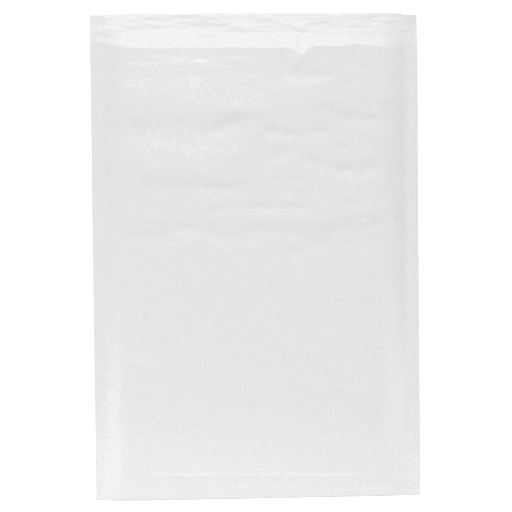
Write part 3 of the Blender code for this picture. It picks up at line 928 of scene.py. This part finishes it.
def bubble_tree():
    """Geometry Nodes: an air bubble on every point, as tall as the point's pad height."""
    tree = bpy.data.node_groups.new("Air Bubbles", "GeometryNodeTree")
    new = tree.interface.new_socket
    new("Geometry", in_out="INPUT", socket_type="NodeSocketGeometry")
    for name, kind, default in (
        ("Diameter", "NodeSocketFloat", 0.01),
        ("Sides", "NodeSocketInt", 10),
        ("Turn", "NodeSocketFloat", 0.0),
        ("Material", "NodeSocketMaterial", None),
    ):
        socket = new(name, in_out="INPUT", socket_type=kind)
        if default is not None:
            socket.default_value = default
    new("Geometry", in_out="OUTPUT", socket_type="NodeSocketGeometry")
    nodes, links = tree.nodes, tree.links
    given, made = nodes.new("NodeGroupInput"), nodes.new("NodeGroupOutput")

    ball = nodes.new("GeometryNodeMeshUVSphere")
    ball.inputs["Rings"].default_value = DOME_RINGS
    ball.inputs["Radius"].default_value = 1.0
    links.new(given.outputs["Sides"], ball.inputs["Segments"])
    position = nodes.new("GeometryNodeInputPosition")
    split = nodes.new("ShaderNodeSeparateXYZ")
    links.new(position.outputs[0], split.inputs[0])
    under = nodes.new("FunctionNodeCompare")
    under.operation = "LESS_THAN"
    under.inputs["B"].default_value = DOME_CUT
    links.new(split.outputs["Z"], under.inputs["A"])
    dome = nodes.new("GeometryNodeDeleteGeometry")
    links.new(ball.outputs["Mesh"], dome.inputs["Geometry"])
    links.new(under.outputs["Result"], dome.inputs["Selection"])
    flatten = nodes.new("ShaderNodeMath")
    flatten.operation = "POWER"
    flatten.inputs[1].default_value = DOME_POWER
    links.new(split.outputs["Z"], flatten.inputs[0])
    shaped = nodes.new("ShaderNodeCombineXYZ")
    links.new(split.outputs["X"], shaped.inputs["X"])
    links.new(split.outputs["Y"], shaped.inputs["Y"])
    links.new(flatten.outputs[0], shaped.inputs["Z"])
    bubble = nodes.new("GeometryNodeSetPosition")
    links.new(dome.outputs[0], bubble.inputs["Geometry"])
    links.new(shaped.outputs[0], bubble.inputs["Position"])

    radius = nodes.new("ShaderNodeMath")
    radius.operation = "MULTIPLY"
    radius.inputs[1].default_value = 0.5
    links.new(given.outputs["Diameter"], radius.inputs[0])
    height = nodes.new("GeometryNodeInputNamedAttribute")
    height.data_type = "FLOAT"
    height.inputs["Name"].default_value = "pad_height"
    scale = nodes.new("ShaderNodeCombineXYZ")
    links.new(radius.outputs[0], scale.inputs["X"])
    links.new(radius.outputs[0], scale.inputs["Y"])
    links.new(height.outputs["Attribute"], scale.inputs["Z"])
    turn = nodes.new("ShaderNodeCombineXYZ")
    links.new(given.outputs["Turn"], turn.inputs["X"])
    copies = nodes.new("GeometryNodeInstanceOnPoints")
    links.new(given.outputs["Geometry"], copies.inputs["Points"])
    links.new(bubble.outputs[0], copies.inputs["Instance"])
    links.new(turn.outputs[0], copies.inputs["Rotation"])
    links.new(scale.outputs[0], copies.inputs["Scale"])
    real = nodes.new("GeometryNodeRealizeInstances")
    links.new(copies.outputs[0], real.inputs[0])
    finish = nodes.new("GeometryNodeSetMaterial")
    links.new(real.outputs[0], finish.inputs["Geometry"])
    links.new(given.outputs["Material"], finish.inputs["Material"])
    links.new(finish.outputs[0], made.inputs[0])
    return tree


def bubble_points(levels, side, away):
    """Points of a staggered grid over one wall, and how tall the bubble on each is. Side is 1 for the front
    wall and -1 for the back one, and away is the wall's distance from the lining's middle plane."""
    sizes = levels.sizes
    surfaces = (levels.lining_bottom, levels.lining_top)
    outer, inner = surfaces[side > 0], surfaces[side < 0]
    points, heights = [], []
    row_step = sizes.bubble_pitch * math.sqrt(3) / 2
    half = levels.body_edge - sizes.bubble_diameter / 2
    low = levels.bottom_y + sizes.bubble_diameter / 2
    high = levels.mouth_y - sizes.bubble_diameter / 2
    for j in range(int((high - low) / row_step) + 1):
        y = low + j * row_step
        count = int(half / sizes.bubble_pitch)
        for i in range(-count, count + 1):
            x = (i + 0.5 * (j % 2)) * sizes.bubble_pitch
            reach_x = x + sizes.bubble_diameter / 2 * np.array([0, -1, 1, 0, 0])
            reach_y = y + sizes.bubble_diameter / 2 * np.array([0, 0, 0, -1, 1])
            if np.abs(reach_x).max() > levels.body_edge:
                continue
            base = float(levels.middle(x, y)) + side * away
            tall = (side * (outer(reach_x, reach_y) - base)).min()
            clear = (side * (base - inner(reach_x, reach_y))).min()
            if tall > LEAST_BUBBLE and clear > 0.0:
                points.append((x, y, base))
                heights.append(tall - BUBBLE_CLEARANCE)
    return points, heights


def blow_bubbles(name, tree, points, heights, turn, sizes, material):
    """A plain mesh of the bubbles on one wall."""
    mesh = bpy.data.meshes.new(name)
    mesh.from_pydata(points, [], [])
    mesh.attributes.new("pad_height", "FLOAT", "POINT").data.foreach_set("value", heights)
    obj = bpy.data.objects.new(name, mesh)
    bpy.context.scene.collection.objects.link(obj)
    grow = obj.modifiers.new("bubbles", "NODES")
    grow.node_group = tree
    values = {
        "Diameter": sizes.bubble_diameter,
        "Sides": sizes.bubble_sides,
        "Turn": turn,
        "Material": material,
    }
    for item in tree.interface.items_tree:
        if item.in_out == "INPUT" and item.name in values:
            grow[item.identifier] = values[item.name]
    return plain_mesh(obj)


def film_bag(levels):
    """The lining's flat film: one sheet folded at the bottom, whose walls meet at the side welds."""
    sizes = levels.sizes
    places = np.array(
        [-levels.half_width]
        + spaced(-levels.half_width, -levels.body_edge, FILM_WELD_COLUMNS)
        + spaced(-levels.body_edge, -levels.body_flat, FILM_SHOULDER_COLUMNS)
        + spaced(-levels.body_flat, levels.body_flat, FILM_BODY_COLUMNS)
        + spaced(levels.body_flat, levels.body_edge, FILM_SHOULDER_COLUMNS)
        + spaced(levels.body_edge, levels.half_width, FILM_WELD_COLUMNS)
    )
    apart = sizes.pocket_gap / 2 + sizes.film / 2
    together = sizes.film / 2 + WELD_CLEARANCE

    def half_gap(x, y):
        return together + (apart - together) * levels.shoulder(x) * levels.bottom_rise(y)

    def wall(side, y):
        return lambda x: (x, np.full_like(x, y), levels.middle(x, y) + side * half_gap(x, y))

    def turn_row(turn):
        def place(x):
            half = half_gap(x, levels.bottom_y)
            level = levels.middle(x, levels.bottom_y) + half * math.cos(turn)
            return x, np.full_like(x, levels.bottom_y - together * math.sin(turn)), level

        return place

    down = [levels.mouth_y] + spaced(levels.mouth_y, levels.crease_y, FILM_MOUTH_ROWS)
    down += spaced(levels.crease_y, levels.band_y, FILM_BODY_ROWS)
    down += spaced(levels.band_y, levels.bottom_y + FILM_FOLD_START, FILM_BAND_ROWS)
    rows = [wall(1, y) for y in down]
    rows += [turn_row(math.pi * i / FILM_FOLD_ROWS) for i in range(FILM_FOLD_ROWS + 1)]
    rows += [wall(-1, y) for y in reversed(down)]
    mesh, _, _ = folded_grid("film_bag", places, rows)
    face_outwards(mesh)
    return mesh


class ENVELOPE_OT_make_lining(bpy.types.Operator):
    """Make the bubble-film bag between the paper panels"""

    bl_idname = "envelope.make_lining"
    bl_label = "Make Bubble Lining"

    def execute(self, context):
        sizes = context.scene.envelope_sizes
        levels = Levels(sizes)
        colours = context.scene.envelope_colours
        material, shader = plain_material("bubble_film", colours.film, roughness=0.22)
        shader.inputs["Transmission Weight"].default_value = 0.5
        shader.inputs["IOR"].default_value = 1.5
        parts = [thickened(link_piece("film_bag", film_bag(levels), material), sizes.film)]
        tree = bubble_tree()
        away = sizes.pocket_gap / 2 + sizes.film * BUBBLE_FOOT
        for name, turn, side in (("front_bubbles", 0.0, 1), ("back_bubbles", math.pi, -1)):
            points, heights = bubble_points(levels, side, away)
            parts.append(blow_bubbles(name, tree, points, heights, turn, sizes, material))
        bm = bmesh.new()
        for part in parts:
            bm.from_mesh(part)
        mesh = bpy.data.meshes.new("bubble_bag")
        bm.to_mesh(mesh)
        bm.free()
        mesh.shade_smooth()
        mesh.set_sharp_from_angle(angle=SHARP_ANGLE)
        lining = link_piece("bubble_bag", mesh, material)
        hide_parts("bubble_lining")
        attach(lining, "root")
        return {"FINISHED"}


class ENVELOPE_OT_finish_strip(bpy.types.Operator):
    """Give the flap's adhesive strip and its release liner their finish"""

    bl_idname = "envelope.finish_strip"
    bl_label = "Finish Flap Strip"

    def execute(self, context):
        colours = context.scene.envelope_colours
        grain = bpy.data.node_groups["Paper Grain"]
        adhesive, shader = plain_material("hot_melt", colours.adhesive, roughness=0.30)
        shader.inputs["Subsurface Weight"].default_value = 0.1
        ripples = place_group(adhesive, grain, Grain_Size=0.003, Grain_Depth=0.00004, Wave_Depth=0.00008)
        bump_from(adhesive, ripples.outputs["Height"], shader)
        liner, shader = plain_material("silicone_paper", colours.liner, roughness=0.28)
        fine = place_group(liner, grain, Grain_Size=0.0008, Grain_Depth=0.000004)
        bump_from(liner, fine.outputs["Height"], shader)
        for node, material in (("adhesive_strip", adhesive), ("release_liner", liner)):
            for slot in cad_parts[node].material_slots:
                slot.material = material
        return {"FINISHED"}


def soft_box(name, place, width, height, strength):
    """A rectangular lamp that looks at the envelope's middle."""
    data = bpy.data.lights.new(name, "AREA")
    data.shape = "RECTANGLE"
    data.size = width
    data.size_y = height
    data.energy = strength * width * height * math.pi
    obj = bpy.data.objects.new(name, data)
    bpy.context.scene.collection.objects.link(obj)
    obj.location = place
    obj.rotation_euler = (-Vector(place)).to_track_quat("-Z", "Y").to_euler()
    obj.visible_camera = False
    return obj


def seen_directly(tree):
    """1 for camera, glossy and transmission rays, else 0."""
    path = tree.nodes.new("ShaderNodeLightPath")
    seen = math_node(tree, "MAXIMUM", path.outputs["Is Camera Ray"], path.outputs["Is Glossy Ray"])
    return math_node(tree, "MAXIMUM", seen, path.outputs["Is Transmission Ray"])


class ENVELOPE_OT_set_stage(bpy.types.Operator):
    """Set the floor, the world, the soft boxes and the camera that looks down on the envelope"""

    bl_idname = "envelope.set_stage"
    bl_label = "Set Stage"

    def execute(self, context):
        scene = context.scene
        self.lay_floor(scene)
        self.light_world(scene)
        for box in SOFT_BOXES:
            soft_box(*box)
        self.place_camera(scene)
        scene.view_settings.view_transform = "Standard"
        return {"FINISHED"}

    def lay_floor(self, scene):
        mesh = bpy.data.meshes.new("floor")
        bm = bmesh.new()
        bmesh.ops.create_grid(bm, x_segments=1, y_segments=1, size=FLOOR_HALF_WIDTH)
        bm.to_mesh(mesh)
        bm.free()
        colour = scene.envelope_colours.floor
        material, shader = plain_material("floor", colour, roughness=0.8, specular=0.0)
        tree = material.node_tree
        shader.inputs["Emission Color"].default_value = (1.0, 1.0, 1.0, 1.0)
        glow = math_node(tree, "MULTIPLY", seen_directly(tree), FLOOR_GLOW)
        tree.links.new(glow, shader.inputs["Emission Strength"])
        floor = link_piece("floor", mesh, material)
        floor.location.z = JACKET_LOW[2]

    def light_world(self, scene):
        world = bpy.data.worlds.new("even_white")
        world.use_nodes = True
        tree = world.node_tree
        background = tree.nodes["Background"]
        background.inputs["Color"].default_value = (1.0, 1.0, 1.0, 1.0)
        seen = math_node(tree, "MULTIPLY", seen_directly(tree), SEEN_LIGHT - FILL_LIGHT)
        tree.links.new(math_node(tree, "ADD", seen, FILL_LIGHT), background.inputs["Strength"])
        scene.world = world

    def place_camera(self, scene):
        data = bpy.data.cameras.new("photo_camera")
        data.lens = CAMERA_LENS
        data.sensor_width = CAMERA_SENSOR
        camera = bpy.data.objects.new("photo_camera", data)
        scene.collection.objects.link(camera)
        camera.location = CAMERA_PLACE
        camera.rotation_euler = [math.radians(angle) for angle in CAMERA_TURN]
        scene.camera = camera


class ENVELOPE_PT_panel(bpy.types.Panel):
    """Lists the envelope's operators, sizes and colours"""

    bl_label = "Padded Envelope"
    bl_space_type = "VIEW_3D"
    bl_region_type = "UI"
    bl_category = "Envelope"

    def draw(self, context):
        layout = self.layout
        for operator in OPERATORS:
            layout.operator(operator.bl_idname)
        for group in (context.scene.envelope_sizes, context.scene.envelope_colours):
            for name in group.__annotations__:
                layout.prop(group, name)


OPERATORS = (
    ENVELOPE_OT_fold_jacket,
    ENVELOPE_OT_make_lining,
    ENVELOPE_OT_finish_strip,
    ENVELOPE_OT_set_stage,
)
CLASSES = (EnvelopeSizes, EnvelopeColours, *OPERATORS, ENVELOPE_PT_panel)


def register():
    for cls in CLASSES:
        bpy.utils.register_class(cls)
    bpy.types.Scene.envelope_sizes = PointerProperty(type=EnvelopeSizes)
    bpy.types.Scene.envelope_colours = PointerProperty(type=EnvelopeColours)


def unregister():
    del bpy.types.Scene.envelope_colours
    del bpy.types.Scene.envelope_sizes
    for cls in reversed(CLASSES):
        bpy.utils.unregister_class(cls)


def main():
    register()
    bpy.ops.envelope.fold_jacket()
    bpy.ops.envelope.make_lining()
    bpy.ops.envelope.finish_strip()
    bpy.ops.envelope.set_stage()


if __name__ == "__main__":
    main()
